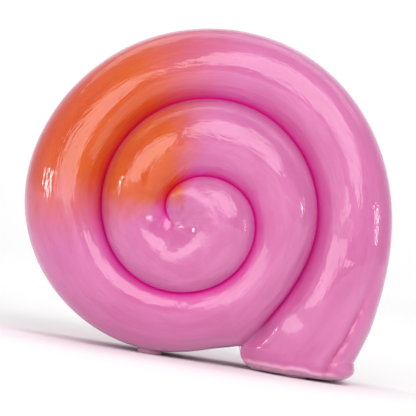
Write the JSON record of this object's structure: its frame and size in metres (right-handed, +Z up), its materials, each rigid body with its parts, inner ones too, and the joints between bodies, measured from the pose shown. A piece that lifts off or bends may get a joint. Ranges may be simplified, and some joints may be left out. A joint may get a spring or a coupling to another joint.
{
  "type": "tape dispenser",
  "caption": "Desk tape dispenser shaped as a glossy coiled snail shell, with a reel inside, a guide roller and serrated cutter in its mouth, and a hinged rear door.",
  "frame": {"origin": "on the desk, under the middle of the object's bounding box", "axes": "+Z up, -Y towards the spiral face, +X towards the mouth with the cutter, +Y towards the rear door"},
  "size_m": [0.108, 0.0544, 0.0964],
  "materials": {
    "casing": "high gloss lacquer over cast resin, pink shading into orange and magenta",
    "steel": "plain bright steel",
    "cast_iron": "black coated",
    "rubber": "soft tinted silicone",
    "hub_plastic": "moulded satin",
    "core_card": "bare board",
    "tape_film": "clear film, glossy",
    "felt": "pressed felt",
    "magnet": "nickel plated",
    "bushing": "turned",
    "roller": "low-stick satin"
  },
  "bodies": {
    "shell": {"front_casing": "casing", "rear_casing": "casing", "hinge_pin": "steel", "casing_magnet": "magnet", "axle": "steel", "axle_clip": "steel", "felt_washer": "felt", "tape_lead": "tape_film", "guide_roller_pin": "steel", "blade_holder": "hub_plastic", "cutter_blade": "steel", "blade_screw_1": "steel", "blade_screw_2": "steel", "holder_screw": "steel", "ballast_weight": "cast_iron", "ballast_screw_1": "steel", "ballast_screw_2": "steel", "casing_screw_1": "steel", "casing_screw_2": "steel", "casing_screw_3": "steel", "casing_screw_4": "steel", "foot_pad_1": "rubber", "foot_pad_2": "rubber", "foot_pad_3": "rubber", "foot_pad_4": "rubber"},
    "reel": {"tape_hub": "hub_plastic", "hub_bushing": "bushing", "tape_core": "core_card", "tape_roll": "tape_film"},
    "guide_roller": {"guide_roller": "roller"},
    "door": {"rear_door": "casing", "door_magnet": "magnet"}
  },
  "joints": [
    {"name": "reel_spin", "type": "hinge", "parent": "shell", "child": "reel", "pos_m": [-0.00051, 0.00357, 0.0449], "axis": [0, 1, 0], "continuous": true},
    {"name": "guide_roller_spin", "type": "hinge", "parent": "shell", "child": "guide_roller", "pos_m": [0.03069, 0.00357, 0.0178], "axis": [0, 1, 0], "continuous": true},
    {"name": "door_hinge", "type": "hinge", "parent": "shell", "child": "door", "pos_m": [-0.03851, 0.02147, 0.0449], "axis": [0, 0, 1], "range_deg": [0, 95]}
  ],
  "couplings": [
    {"joint": "guide_roller_spin", "follows": "reel_spin", "ratio": -7.125}
  ]
}
